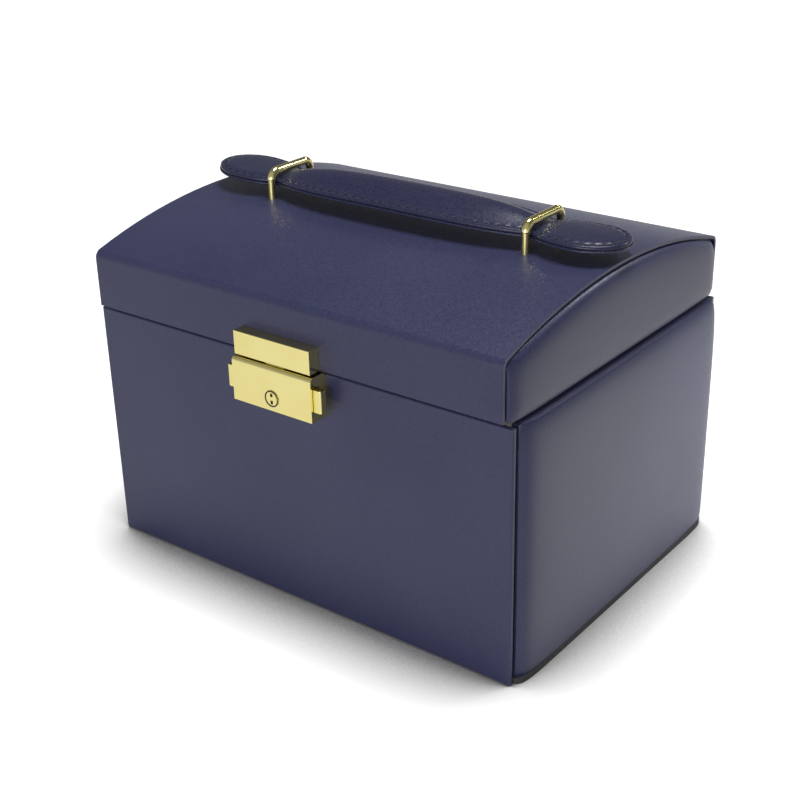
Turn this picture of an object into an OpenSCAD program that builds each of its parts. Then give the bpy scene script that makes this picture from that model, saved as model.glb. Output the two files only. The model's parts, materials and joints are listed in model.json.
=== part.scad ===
// Leather jewellery case with an arched lid, a strap handle, a push-button lock
// and a tray that the lid lifts on a parallelogram of flat arms.
// Millimetres. X runs along the front, Y to the back and Z up. The origin is the
// centre of the underside.

/* [Case] */
// Width over the side boards
case_w = 229; // [190:1:260]
// Depth over the front and back boards
case_d = 165; // [140:1:200]
// Height from the table to the rim of the case
case_h = 114; // [100:1:140]
// Thickness of the side boards, with their leather
side_t = 8; // [6:0.5:9]
// How far each end of the front board stands back from the side of the case
front_inset = 4.5; // [3:0.25:5]
// Thickness of the front board, with its leather
front_t = 2; // [1.6:0.2:3]
// Height of the lower edge of the front board above the table
front_rise = 0.4; // [0.2:0.1:1]
// Thickness of the back board
back_t = 4; // [3:0.5:6]
// Thickness of the lining boards at the sides
side_liner_t = 2.5; // [2:0.5:4]
// Thickness of the lining board at the back
back_liner_t = 2; // [1.5:0.5:3]
// Thickness of the lining board behind the front
front_liner_t = 4; // [3:0.5:5]
// Thickness of the base board under the walls
base_t = 1.8; // [1.4:0.2:4]
// Thickness of the cover sheet under the base board
cover_t = 1; // [0.5:0.25:2]
// How far the base stands in from the outer faces of the walls
base_step = 0.2; // [0.1:0.1:1]
// Groove between the front board and the side boards
corner_groove = 1.6; // [0.8:0.1:2.4]
// Rounding of a wrapped board edge
edge_r = 1; // [0.4:0.1:1.2]
// Rounding of the upright corners of the side boards
corner_r = 4; // [2:0.25:5.5]

/* [Lid] */
// How far each end of the lid stands back from the side of the case
lid_inset = 3.7; // [3:0.1:4.5]
// How far the lid stands out beyond the front and the back of the case
lid_lap = 2.7; // [2.2:0.1:3.2]
// Gap between the rim of the case and the lid
lid_gap = 2.2; // [1.6:0.1:2.6]
// Height of the straight front of the lid
fascia_h = 24.8; // [20:0.2:32]
// Rise of the arched top above the shoulders
crown_rise = 13.4; // [10:0.2:20]
// Rounding of the shoulders
shoulder_r = 4; // [3.5:0.5:6]
// Thickness of the bent skin of the lid
skin_t = 3; // [2.5:0.5:4]
// Thickness of the lip that the skin leaves round each end panel
lip_t = 1.3; // [1:0.1:1.6]
// Groove between that lip and the end panel
lip_groove = 0.9; // [0.6:0.1:1.1]
// How far the end panels stand out beyond the ends of the skin
end_proud = 3.7; // [3:0.1:4.2]
// Thickness of the end panels
lid_board_t = 5.2; // [5:0.1:5.6]
// Rounding of the upright and arched edges of the end panels
end_r = 3; // [2:0.1:3.6]
// Thickness of the lining at the front and back of the lid
lid_liner_t = 3.5; // [2:0.5:5]
// Thickness of the ceiling board
ceiling_t = 2.4; // [2:0.2:3]
// Thickness of the mirror
mirror_t = 1.8; // [1.5:0.1:2.4]
// Width of the moulding round the mirror
frame_w = 9; // [6:1:14]
// Border of the ceiling left bare outside the mirror moulding
frame_border = 10; // [6:1:16]

/* [Lid hinges] */
// Length of one hinge
hinge_l = 40; // [30:1:50]
// Distance from the end of the case to the middle of a hinge
hinge_end = 50; // [35:1:60]
// Height of one leaf
leaf_h = 13; // [11:1:16]
// Thickness of a leaf
leaf_t = 1; // [0.8:0.1:1.2]
// Outer radius of the knuckles
knuckle_r = 2; // [1.7:0.1:2.4]
// Radius of the hinge pin
hinge_pin_r = 1; // [0.8:0.1:1.1]
// Radial running fit of pins in their bores
pin_fit = 0.05; // [0.03:0.01:0.08]

/* [Tray lift] */
// Horizontal offset of the lid pivot in front of the hinge
link_y = 34.5; // [32:0.5:36]
// Drop of the lid pivot below the hinge
link_z = 12; // [11:0.5:13]
// Horizontal distance between the two pivots of the tray
coupler_y = 95; // [88:1:100]
// Drop of the case pivot below the hinge
coupler_z = 8; // [7:0.5:9]
// Thickness of the arms and of the lid brackets
arm_t = 1.2; // [0.8:0.1:1.4]
// Radius of the eyes at both ends of an arm
arm_r = 5; // [4:0.5:5.5]
// How much narrower than its eyes an arm is, on each side
arm_waist = 1; // [0.5:0.25:1.5]
// Side play between the lining and the arms
arm_play = 0.5; // [0.3:0.1:0.6]
// Radius of the pivot pins
pivot_r = 2; // [1.5:0.25:2.5]
// Radius of the pivot shoulders
pivot_shoulder_r = 3.5; // [3:0.25:4]
// Room between the lining and the tray, where the arms run
link_room = 4; // [3.6:0.2:5]
// Extra play of the tray pins in the lid brackets
bracket_play = 0.3; // [0.2:0.05:0.5]

/* [Tray] */
// Height of the tray
tray_h = 26; // [24:1:28]
// Depth of the tray's rim below the rim of the case
tray_sink = 2; // [1:0.5:3]
// Thickness of the tray's walls and floor
tray_t = 2.5; // [2:0.5:3]
// Clearance in front of the tray
tray_front_clear = 3; // [2.6:0.2:6]
// Clearance behind the tray
tray_back_clear = 5.5; // [5:0.5:9]
// Number of ring rolls
roll_count = 6; // [4:1:7]
// Slot between two ring rolls
roll_slot = 2.4; // [1.5:0.1:4]
// Height of the ring rolls
roll_h = 17; // [14:1:19]
// Share of the tray's width that the ring rolls take
roll_share = 0.5; // [0.4:0.05:0.6]
// Thickness of the divider boards
divider_t = 2.5; // [2:0.5:4]
// Thickness of the padded floors
pad_t = 2; // [1.5:0.5:3]
// Height of the dividers on the floor of the case
divider_h = 66; // [50:1:72]
// Play in slots that boards slide into
slot_play = 0.1; // [0.05:0.05:0.3]

/* [Lock] */
// Width of the lock case
lock_w = 42.3; // [40:0.1:48]
// Height of the lock case
lock_h = 19.4; // [18:0.2:22]
// Depth of the lock case
lock_d = 9.6; // [9.4:0.1:11]
// How far the top of the lock stands above the rim of the case
lock_rise = 1; // [0.5:0.1:1.2]
// Wall of the lock case
lock_wall = 1; // [0.8:0.1:1.2]
// Rounding of the upper front edge of the lock case
lock_top_r = 2.2; // [1.5:0.1:2.8]
// Width of the hasp block on the lid
hasp_w = 40.3; // [38:0.1:46]
// Height of the hasp block
hasp_h = 10.4; // [8:0.2:13]
// Depth of the hasp block
hasp_d = 6; // [5.5:0.1:7]
// Width of the tongue
tongue_w = 10; // [8:0.5:12]
// Thickness of the tongue
tongue_t = 1.6; // [1.2:0.1:1.8]
// Length of the tongue below the lid
tongue_l = 11; // [9:0.5:12]
// Diameter of the key plug
plug_d = 7.2; // [6:0.2:8]
// Height of the key plug above the lower edge of the lock case
plug_z = 5.5; // [5.5:0.1:6.5]
// How far a button stands out of the side of the lock
button_out = 3.9; // [3.4:0.1:5]
// Height of the lower edge of a button above the lower edge of the lock case
button_rise = 4.5; // [4:0.1:5]
// Height of a button
button_h = 10; // [9:0.5:10.5]
// Depth of a button, front to back
button_d = 3.8; // [3:0.1:4]
// Travel of a button
button_travel = 2.5; // [2:0.1:3]
// Wire of the button springs
spring_wire = 0.4; // [0.3:0.05:0.5]
// Outer diameter of the button springs
spring_d = 3; // [2.4:0.1:3.2]
// Turns of a button spring
spring_turns = 7; // [5:1:9]

/* [Handle] */
// Height of the loops above the crown of the lid
loop_h = 13.6; // [13:0.1:16]
// Outer width of a loop
loop_w = 29.6; // [28:0.2:31]
// Diameter of the loop wire
wire_d = 3; // [2.6:0.1:3.2]
// Bend radius on the middle line of the wire
wire_bend = 4; // [3:0.1:4.5]
// Distance from the middle of the handle to a loop
loop_x = 68.1; // [62:0.1:74]
// How far the handle sits to the right of the middle of the lid
handle_shift = 2; // [0:0.1:3]
// Length of the strap from tip to tip
strap_l = 215.5; // [210:0.5:222]
// Width of the strap at its middle
strap_w = 35.5; // [32:0.5:37]
// Width of the rounded tabs
tab_w = 31.6; // [28:0.2:34]
// Length of a tab from its widest place to its tip
tab_tip = 18.2; // [15:0.2:19]
// Thickness of the padded upper inside the loops
upper_t = 4.1; // [3.8:0.1:4.2]
// Thickness of the padded upper at its edges
upper_edge_t = 1.9; // [1.5:0.1:2.4]
// How much the padding swells between the loops
swell = 3.6; // [2:0.2:4]
// Thickness of the lining under the strap
lining_t = 1.2; // [0.8:0.1:1.3]
// Clearance of the strap under the bar of a loop
strap_clear = 0.3; // [0.2:0.05:0.5]
// Clearance of the strap beside the legs of a loop
neck_clear = 1.3; // [1.2:0.1:2]

/* [Hidden] */

$fn = 48;
eps = 0.01;
arc_fn = 360;

leather = "#34365a";
lining = "#d9cdb8";
gold = "#d8b24a";
steel = "#b8bcc2";
paper = "#2a2a2e";

// Main planes of the case.
half_w = case_w / 2;
half_d = case_d / 2;
base_top = cover_t + base_t;
front_half_w = half_w - front_inset;
wall_x = half_w - side_t;
inner_x = wall_x - side_liner_t;
inner_front = -half_d + front_t + front_liner_t;
inner_back = half_d - back_t - back_liner_t;
floor_top = base_top + pad_t;
wall_front = -half_d + front_t + corner_groove;

// Arched profile of the lid, in the YZ plane.
lid_bottom = case_h + lid_gap;
lid_half_w = half_w - lid_inset;
lid_half_d = half_d + lid_lap;
lid_x = lid_half_w - lid_board_t;
skin_x = lid_half_w - end_proud;
shoulder_z = lid_bottom + fascia_h;
crown_z = shoulder_z + crown_rise;
arch_r = (lid_half_d * lid_half_d + crown_rise * crown_rise) / (2 * crown_rise);
arch_z = crown_z - arch_r;
fillet_y = lid_half_d - shoulder_r;
fillet_z = arch_z + sqrt(pow(arch_r - shoulder_r, 2) - fillet_y * fillet_y);
function arch_height(y, inset) = arch_z + sqrt(pow(arch_r - inset, 2) - y * y);

// Inside of the lid.
lid_liner_y = lid_half_d - skin_t - lid_liner_t;
liner_clear = 0.2;
ceiling_top = arch_height(lid_liner_y, skin_t) - liner_clear;
ceiling_bottom = ceiling_top - ceiling_t;
mirror_bottom = ceiling_bottom - mirror_t;
frame_lip = 0.6;
frame_t = mirror_t + frame_lip;
frame_lap = 3;
frame_half_x = inner_x - frame_border;
frame_half_y = lid_liner_y - frame_border;
mirror_half_x = frame_half_x - frame_w + frame_lap;
mirror_half_y = frame_half_y - frame_w + frame_lap;

// Hinge axis and pivots of the tray lift.
hinge_x = half_w - hinge_end;
hinge_y = lid_half_d + knuckle_r;
hinge_z = case_h + lid_gap / 2;
lid_pivot = [hinge_y - link_y, hinge_z - link_z];
case_pivot = [hinge_y - coupler_y, hinge_z - coupler_z];
tray_pivot = [case_pivot[0] - link_y, case_pivot[1] - link_z];
knuckle_count = 5;
knuckle_gap = 0.3;
knuckle_pitch = hinge_l / knuckle_count;
leaf_clear = 0.3;
screw_pitch = 13;
screw_r = 1;
screw_head_r = 2;
screw_head_h = 0.7;
screw_l = 3.4;
screw_tip = 0.4;
screw_drop = 4.6;
case_screw_z = hinge_z - leaf_h + screw_drop;
lid_screw_z = hinge_z + leaf_h - screw_drop;
pin_cap_step = 0.3;

// Cross positions of the arms, measured from the middle of the case.
arm_x = inner_x - arm_play;
tray_x = inner_x - link_room;
pin_end_clear = 0.3;
pivot_head_h = 0.9;
pivot_head_r = 4;

// The tray.
tray_front = inner_front + tray_front_clear;
tray_back = inner_back - tray_back_clear;
tray_top = case_h - tray_sink;
tray_floor = tray_top - tray_h;
tray_in_x = tray_x - tray_t;
tray_in_front = tray_front + tray_t;
tray_in_back = tray_back - tray_t;
tray_pad_z = tray_floor + tray_t;
roll_edge = -tray_in_x + 2 * tray_in_x * roll_share - divider_t / 2;
roll_pitch = (tray_in_back - tray_in_front) / roll_count;
tray_divider_drop = 3;
tray_divider_h = tray_h - tray_t - tray_divider_drop;

// The lock, on the front board and the fascia.
lock_top = case_h + lock_rise;
lock_bottom = lock_top - lock_h;
lock_front = -half_d - lock_d;
lock_inner = lock_front + lock_wall;
lock_plate_t = 0.8;
plug_height = lock_bottom + plug_z;
plug_boss_r = plug_d / 2 + 0.9;
plug_boss_l = 4;
bar_t = 1.1;
bar_gap = 0.4;
bar_low = plug_height + plug_boss_r + 0.5;
bar_h = 3.6;
bar_front_y = lock_inner + 0.2;
tongue_y = bar_front_y + bar_t + bar_gap + 0.1;
bar_rear_y = tongue_y + tongue_t + bar_gap;
tongue_z = lid_bottom - tongue_l;
tongue_neck = 1.4;
catch_z = bar_low + 1.4;
catch_h = 1.4;
catch_l = 2.6;
catch_clear = 0.4;
button_gap = 0.2;
button_y = lock_inner + button_gap;
button_z = lock_bottom + button_rise;
button_lap = 0.6;
button_flange_t = 0.9;
button_flange_x = lock_w / 2 - lock_wall - button_gap;
spring_z = plug_height + 1.4;
spring_y = button_y + button_d / 2;
spring_seat = plug_boss_r + 0.5;
rivet_r = 1.2;
rivet_fit = 0.05;
rivet_head_r = 2.2;
rivet_head_h = 0.8;
lock_rivet_x = 13;
lock_rivet_z = lock_bottom + 3.1;
hasp_drop = 0.3;
hasp_bottom = lid_bottom - hasp_drop;
hasp_rivet_x = 12;
hasp_rivet_z = hasp_bottom + hasp_h / 2;
hasp_edge_r = 0.3;
tongue_top = hasp_rivet_z + 1;

// The handle.
wire_r = wire_d / 2;
bend_thin = 0.03;
bar_z = crown_z + loop_h - wire_r;
leg_y = loop_w / 2 - wire_r;
loops = [handle_shift - loop_x, handle_shift + loop_x];
loop_plate_t = 1;
loop_plate_half_y = loop_w / 2 + 2.4;
loop_plate_top = arch_height(loop_plate_half_y, skin_t) - 0.1;
loop_plate_z = loop_plate_top - loop_plate_t;
nut_h = 1.6;
nut_r = 2.6;
leg_bottom = loop_plate_z - nut_h - 0.4;
strap_top = bar_z - wire_r - strap_clear;
strap_split = strap_top - upper_t;
strap_bottom = strap_split - lining_t;
neck_half = leg_y - wire_r - neck_clear;
tab_half = tab_w / 2;
tab_x = strap_l / 2 - tab_tip;
tab_root = (tab_x - loop_x) / sqrt(1 - pow(neck_half / tab_half, 2));
root_angle = asin((tab_x - loop_x) / tab_root);

// Half the width of the strap at a distance from its middle: nearly straight sides
// that close in to the loops, then a tab of two half ellipses.
function strap_half(x) =
    x < loop_x ? neck_half + (strap_w / 2 - neck_half) * (1 - pow(x / loop_x, side_power))
    : x < tab_x ? tab_half * sqrt(1 - pow((tab_x - x) / tab_root, 2))
    : tab_half * sqrt(max(0, 1 - pow((x - tab_x) / tab_tip, 2)));
side_power = 3.5;
strap_steps = concat(
    [for (i = [0:8]) loop_x * sin(10 * i)],
    [for (i = [4:-1:0]) tab_x - tab_root * sin(root_angle * i / 4)],
    [for (a = [15:15:90]) tab_x + tab_tip * sin(a)]);

// Height of the upper over its flat underside between the loops.
swell_half = loop_x - wire_r - strap_clear;
swell_power = 6;
function upper_height(x) = upper_t + swell * (1 - pow(x / swell_half, swell_power));

// A rectangle in XY whose two corners at y = 0 are rounded.
module soft_section(l, t, r) {
    union() {
        translate([0, r]) square([l, t - r]);
        translate([r, 0]) square([l - 2 * r, t]);
        translate([r, r]) circle(r);
        translate([l - r, r]) circle(r);
    }
}

// A wrapped board with its outer face on y = 0 and its lower left corner at the
// origin. side_r rounds its upright edges and r the upper and lower ones.
module wrapped_board(l, h, t, side_r, r) {
    intersection() {
        linear_extrude(h) soft_section(l, t, side_r);
        translate([l, 0, 0]) rotate([0, -90, 0]) linear_extrude(l) soft_section(h, t, r);
    }
}

// A block between two corners.
module block(x0, x1, y0, y1, z0, z1) {
    translate([x0, y0, z0]) cube([x1 - x0, y1 - y0, z1 - z0]);
}

// A round bar along X or along Y.
module bar_x(x0, x1, y, z, r) {
    translate([x0, y, z]) rotate([0, 90, 0]) cylinder(r = r, h = x1 - x0);
}
module bar_y(y0, y1, x, z, r) {
    translate([x, y0, z]) rotate([-90, 0, 0]) cylinder(r = r, h = y1 - y0);
}

// Places a YZ profile and extrudes it from x0 to x1.
module along_x(x0, x1) {
    translate([x0, 0, 0]) rotate([90, 0, 90]) linear_extrude(x1 - x0) children();
}

// Outline of the lid in YZ: upright front and back, rounded shoulders and the arch,
// with the whole outline set in by inset.
module arch_profile(inset, bottom) {
    r = arch_r - inset;
    fillet = shoulder_r - inset;
    half = lid_half_d - inset;
    touch_y = fillet_y * r / (arch_r - shoulder_r);
    union() {
        translate([-half, bottom]) square([2 * half, fillet_z - bottom]);
        intersection() {
            translate([0, arch_z]) circle(r, $fn = arc_fn);
            translate([-touch_y, bottom]) square([2 * touch_y, crown_z]);
        }
        translate([-fillet_y, fillet_z]) circle(fillet);
        translate([fillet_y, fillet_z]) circle(fillet);
    }
}

// ---- case walls ----

// A sheet of the base, behind the front board, with rounded front corners.
module base_sheet(bottom, top) {
    translate([-half_w + base_step, -half_d + front_t, bottom])
        linear_extrude(top - bottom)
            soft_section(2 * (half_w - base_step), 2 * half_d - front_t - base_step, corner_r);
}
module base_cover() {
    color(paper) base_sheet(0, cover_t);
}
module base_board() {
    color(paper) base_sheet(cover_t, base_top);
}

module front_board() {
    color(leather)
        difference() {
            translate([-front_half_w, -half_d, front_rise])
                wrapped_board(2 * front_half_w, case_h - front_rise, front_t, edge_r, edge_r);
            for (x = [-lock_rivet_x, lock_rivet_x])
                bar_y(-half_d - eps, -half_d + front_t + eps, x, lock_rivet_z, rivet_r + rivet_fit);
        }
}

module back_board() {
    color(leather)
        difference() {
            block(-wall_x, wall_x, half_d - back_t, half_d, base_top, case_h);
            hinge_screw_holes(half_d, case_screw_z);
        }
}

module side_board() {
    translate([half_w, wall_front, base_top]) rotate([0, 0, 90])
        wrapped_board(half_d - wall_front, case_h - base_top, side_t, corner_r, edge_r);
}
module side_board_right() {
    color(leather) side_board();
}
module side_board_left() {
    color(leather) mirror([1, 0, 0]) side_board();
}

module liner_front() {
    color(lining)
        difference() {
            block(-wall_x, wall_x, -half_d + front_t, inner_front, base_top, case_h);
            for (x = [-lock_rivet_x, lock_rivet_x])
                bar_y(-half_d + front_t - eps, -half_d + front_t + rivet_head_h + rivet_fit,
                    x, lock_rivet_z, rivet_head_r + rivet_fit);
        }
}

module liner_back() {
    color(lining)
        block(-wall_x, wall_x, inner_back, half_d - back_t, base_top, case_h);
}

module liner_side() {
    difference() {
        block(inner_x, wall_x, inner_front, inner_back, base_top, case_h);
        bar_x(inner_x - eps, wall_x + eps, case_pivot[0], case_pivot[1],
            pivot_r + rivet_fit);
    }
}
module liner_right() {
    color(lining) liner_side();
}
module liner_left() {
    color(lining) mirror([1, 0, 0]) liner_side();
}

module floor_pad() {
    color(lining) block(-inner_x, inner_x, inner_front, inner_back, base_top, floor_top);
}

// The two dividers cross at the middle on halving joints.
module divider_long() {
    color(lining)
        difference() {
            block(-inner_x, inner_x, -divider_t / 2, divider_t / 2, floor_top,
                floor_top + divider_h);
            block(-divider_t / 2 - slot_play, divider_t / 2 + slot_play, -divider_t, divider_t,
                floor_top + divider_h / 2, floor_top + divider_h + eps);
        }
}
module divider_cross() {
    color(lining)
        difference() {
            block(-divider_t / 2, divider_t / 2, inner_front, inner_back, floor_top,
                floor_top + divider_h);
            block(-divider_t, divider_t, -divider_t / 2 - slot_play, divider_t / 2 + slot_play,
                floor_top - eps, floor_top + divider_h / 2);
        }
}

// ---- hinges ----

// Screw holes in a board whose outer face is at back, at one height.
module hinge_screw_holes(back, z) {
    for (side = [-1, 1])
        for (i = [-1:1])
            bar_y(back - screw_l, back + leaf_t + eps, side * hinge_x + i * screw_pitch, z,
                screw_r + rivet_fit);
}

// One leaf with the knuckles from first in steps of two. up is 1 on the lid and -1 on
// the case, and back is the face that the leaf lies on. The case leaf is cranked out
// to the back of the lid just below its knuckles.
module hinge_leaf(x, first, up, back) {
    edge = hinge_z + up * (knuckle_r + leaf_clear);
    bend = edge + up * leaf_t;
    far = hinge_z + up * leaf_h;
    x_end = x + hinge_l / 2;
    difference() {
        union() {
            block(x - hinge_l / 2, x_end, back, back + leaf_t, min(edge, far), max(edge, far));
            block(x - hinge_l / 2, x_end, back, lid_half_d + leaf_t, min(edge, bend),
                max(edge, bend));
            for (i = [first:2:knuckle_count - 1]) {
                x0 = x - hinge_l / 2 + i * knuckle_pitch + knuckle_gap / 2;
                x1 = x0 + knuckle_pitch - knuckle_gap;
                block(x0, x1, lid_half_d, lid_half_d + leaf_t, min(bend, hinge_z),
                    max(bend, hinge_z));
                bar_x(x0, x1, hinge_y, hinge_z, knuckle_r);
            }
        }
        bar_x(x - hinge_l, x + hinge_l, hinge_y, hinge_z, hinge_pin_r + pin_fit);
        hinge_screw_holes(back, up > 0 ? lid_screw_z : case_screw_z);
    }
}
module hinge_case_leaf_left() {
    color(gold) hinge_leaf(-hinge_x, 0, -1, half_d);
}
module hinge_case_leaf_right() {
    color(gold) hinge_leaf(hinge_x, 0, -1, half_d);
}
module hinge_lid_leaf_left() {
    color(gold) hinge_leaf(-hinge_x, 1, 1, lid_half_d);
}
module hinge_lid_leaf_right() {
    color(gold) hinge_leaf(hinge_x, 1, 1, lid_half_d);
}

module hinge_pins() {
    color(gold)
        for (side = [-1, 1]) {
            x0 = side * hinge_x - hinge_l / 2;
            bar_x(x0, x0 + hinge_l, hinge_y, hinge_z, hinge_pin_r);
            bar_x(x0 - knuckle_gap, x0, hinge_y, hinge_z, knuckle_r - pin_cap_step);
            bar_x(x0 + hinge_l, x0 + hinge_l + knuckle_gap, hinge_y, hinge_z,
                knuckle_r - pin_cap_step);
        }
}

// Flat-headed screws through the leaves that lie on the face back.
module hinge_screws(back, z) {
    for (side = [-1, 1])
        for (i = [-1:1]) {
            x = side * hinge_x + i * screw_pitch;
            bar_y(back - screw_l + screw_tip, back + leaf_t, x, z, screw_r);
            bar_y(back + leaf_t, back + leaf_t + screw_head_h, x, z, screw_head_r);
        }
}
module hinge_screws_case() {
    color(gold) hinge_screws(half_d, case_screw_z);
}
module hinge_screws_lid() {
    color(gold) hinge_screws(lid_half_d, lid_screw_z);
}

// ---- lid ----

// Fascia, arch and back in one bent skin, with a thin lip round each end panel.
module lid_skin() {
    color(leather)
        difference() {
            along_x(-skin_x, skin_x) arch_profile(0, lid_bottom);
            along_x(-lid_x - eps, lid_x + eps) arch_profile(skin_t, lid_bottom - 1);
            for (side = [0, 1])
                mirror([side, 0, 0])
                    along_x(lid_x, skin_x + 1) arch_profile(lip_t, lid_bottom - 1);
            for (x = loops)
                for (y = [-leg_y, leg_y])
                    translate([x, y, leg_bottom])
                        cylinder(r = wire_r + rivet_fit, h = loop_h + crown_rise);
            for (x = [-hasp_rivet_x, hasp_rivet_x])
                bar_y(-lid_half_d - eps, -lid_half_d + skin_t + eps, x, hasp_rivet_z,
                    rivet_r + rivet_fit);
            hinge_screw_holes(lid_half_d, lid_screw_z);
        }
}

// An end panel: an arched board with rounded outer edges, which stands in the skin
// inside the lip and reaches out beyond it.
module lid_end() {
    set_in = lip_t + lip_groove;
    rim_r = arch_r - set_in;
    depth = 2 * (lid_half_d - set_in);
    intersection() {
        translate([lid_x, 0, arch_z]) rotate([0, 90, 0])
            rotate_extrude($fn = arc_fn)
                union() {
                    square([rim_r, lid_board_t - end_r]);
                    square([rim_r - end_r, lid_board_t]);
                    translate([rim_r - end_r, lid_board_t - end_r]) circle(end_r);
                }
        translate([lid_half_w, -depth / 2, lid_bottom]) rotate([0, 0, 90])
            wrapped_board(depth, crown_z - lid_bottom, lid_board_t, end_r, edge_r);
    }
}
module lid_end_right() {
    color(leather) lid_end();
}
module lid_end_left() {
    color(leather) mirror([1, 0, 0]) lid_end();
}

module lid_liner_front() {
    color(lining)
        difference() {
            block(-lid_x, lid_x, -lid_half_d + skin_t, -lid_liner_y, lid_bottom,
                fillet_z - liner_clear);
            for (x = [-hasp_rivet_x, hasp_rivet_x])
                bar_y(-lid_half_d + skin_t - eps,
                    -lid_half_d + skin_t + rivet_head_h + rivet_fit, x, hasp_rivet_z,
                    rivet_head_r + rivet_fit);
        }
}
module lid_liner_back() {
    color(lining)
        difference() {
            block(-lid_x, lid_x, lid_liner_y, lid_half_d - skin_t, lid_bottom,
                fillet_z - liner_clear);
            hinge_screw_holes(lid_half_d, lid_screw_z);
        }
}
module lid_liner_side() {
    difference() {
        block(inner_x, lid_x, -lid_liner_y, lid_liner_y, lid_bottom, ceiling_top);
        bracket_screw_holes();
    }
}
module lid_liner_right() {
    color(lining) lid_liner_side();
}
module lid_liner_left() {
    color(lining) mirror([1, 0, 0]) lid_liner_side();
}

module lid_ceiling() {
    color(lining)
        block(-inner_x, inner_x, -lid_liner_y, lid_liner_y, ceiling_bottom, ceiling_top);
}

module mirror_plate() {
    color("#cfd6dc")
        block(-mirror_half_x, mirror_half_x, -mirror_half_y, mirror_half_y,
            mirror_bottom, ceiling_bottom);
}

// A flat moulding that laps over the edge of the mirror.
module mirror_frame() {
    opening_x = frame_half_x - frame_w;
    opening_y = frame_half_y - frame_w;
    color(lining)
        difference() {
            block(-frame_half_x, frame_half_x, -frame_half_y, frame_half_y,
                ceiling_bottom - frame_t, ceiling_bottom);
            block(-opening_x, opening_x, -opening_y, opening_y,
                ceiling_bottom - frame_t - 1, ceiling_bottom + 1);
            block(-mirror_half_x, mirror_half_x, -mirror_half_y, mirror_half_y,
                mirror_bottom, ceiling_bottom + 1);
        }
}

// ---- tray lift ----

// A flat link between two points of the YZ plane, with a round eye at each end.
module link(x0, x1, a, b, hole_a, hole_b) {
    run = [b[0] - a[0], b[1] - a[1]];
    reach = norm(run);
    tilt = atan2(run[1], run[0]);
    difference() {
        union() {
            bar_x(x0, x1, a[0], a[1], arm_r);
            bar_x(x0, x1, b[0], b[1], arm_r);
            translate([x0, a[0], a[1]]) rotate([tilt, 0, 0])
                translate([0, 0, arm_waist - arm_r])
                    cube([x1 - x0, reach, 2 * (arm_r - arm_waist)]);
        }
        bar_x(x0 - 1, x1 + 1, a[0], a[1], hole_a);
        bar_x(x0 - 1, x1 + 1, b[0], b[1], hole_b);
    }
}
module arm() {
    link(arm_x - arm_t, arm_x, case_pivot, tray_pivot, pivot_r + pin_fit, pivot_r + pin_fit);
}
module arm_right() {
    color(gold) arm();
}
module arm_left() {
    color(gold) mirror([1, 0, 0]) arm();
}

// Headed studs in the side linings, on which the arms swing.
module arm_pivots() {
    color(gold)
        for (side = [0, 1])
            mirror([side, 0, 0]) {
                head_x = arm_x - arm_t - pin_fit;
                bar_x(head_x, wall_x, case_pivot[0], case_pivot[1], pivot_r);
                bar_x(head_x - pivot_head_h, head_x, case_pivot[0], case_pivot[1], pivot_head_r);
                bar_x(arm_x + pin_fit, inner_x, case_pivot[0], case_pivot[1], pivot_shoulder_r);
            }
}

// Foot of a lid bracket, on the side lining of the lid.
foot_l = 11;
foot_screw_pitch = 7;
foot_back = lid_pivot[0] + foot_l;
foot_front = lid_pivot[0] - arm_r;
foot_bottom = lid_bottom + 1.3;
foot_top = ceiling_bottom - frame_t - 1;
bracket_screw_y = [lid_pivot[0], lid_pivot[0] + foot_screw_pitch];
bracket_screw_z = (foot_bottom + foot_top) / 2;

module bracket_screw_holes() {
    for (y = bracket_screw_y)
        bar_x(inner_x - eps, lid_x + eps, y, bracket_screw_z, screw_r + rivet_fit);
}

module lid_bracket() {
    difference() {
        union() {
            block(arm_x - arm_t, inner_x, foot_front, foot_back, foot_bottom, foot_top);
            block(arm_x - arm_t, arm_x, foot_front, lid_pivot[0] + arm_r, lid_pivot[1],
                foot_bottom + eps);
            bar_x(arm_x - arm_t, arm_x, lid_pivot[0], lid_pivot[1], arm_r);
        }
        bar_x(arm_x - arm_t - 1, arm_x + 1, lid_pivot[0], lid_pivot[1], pivot_r + bracket_play);
        for (y = bracket_screw_y)
            bar_x(arm_x - arm_t - 1, inner_x + 1, y, bracket_screw_z, screw_r + rivet_fit);
    }
}
module lid_bracket_right() {
    color(gold) lid_bracket();
}
module lid_bracket_left() {
    color(gold) mirror([1, 0, 0]) lid_bracket();
}
module bracket_screws() {
    color(gold)
        for (side = [0, 1])
            mirror([side, 0, 0])
                for (y = bracket_screw_y) {
                    bar_x(arm_x - arm_t - screw_head_h, arm_x - arm_t, y, bracket_screw_z,
                        screw_head_r);
                    bar_x(arm_x - arm_t, lid_x, y, bracket_screw_z, screw_r);
                }
}

// ---- tray ----

module tray_shell() {
    color(leather)
        difference() {
            block(-tray_x, tray_x, tray_front, tray_back, tray_floor, tray_top);
            block(-tray_in_x, tray_in_x, tray_in_front, tray_in_back, tray_pad_z, tray_top + 1);
            for (side = [0, 1])
                mirror([side, 0, 0])
                    for (p = [lid_pivot, tray_pivot])
                        bar_x(tray_in_x - eps, tray_x + eps, p[0], p[1], pivot_r + rivet_fit);
        }
}

module tray_divider_long() {
    color(lining)
        block(roll_edge, roll_edge + divider_t, tray_in_front, tray_in_back, tray_pad_z,
            tray_pad_z + tray_divider_h);
}
module tray_divider_cross() {
    middle = (tray_in_front + tray_in_back) / 2;
    color(lining)
        block(roll_edge + divider_t, tray_in_x, middle - divider_t / 2, middle + divider_t / 2,
            tray_pad_z, tray_pad_z + tray_divider_h);
}

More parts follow.
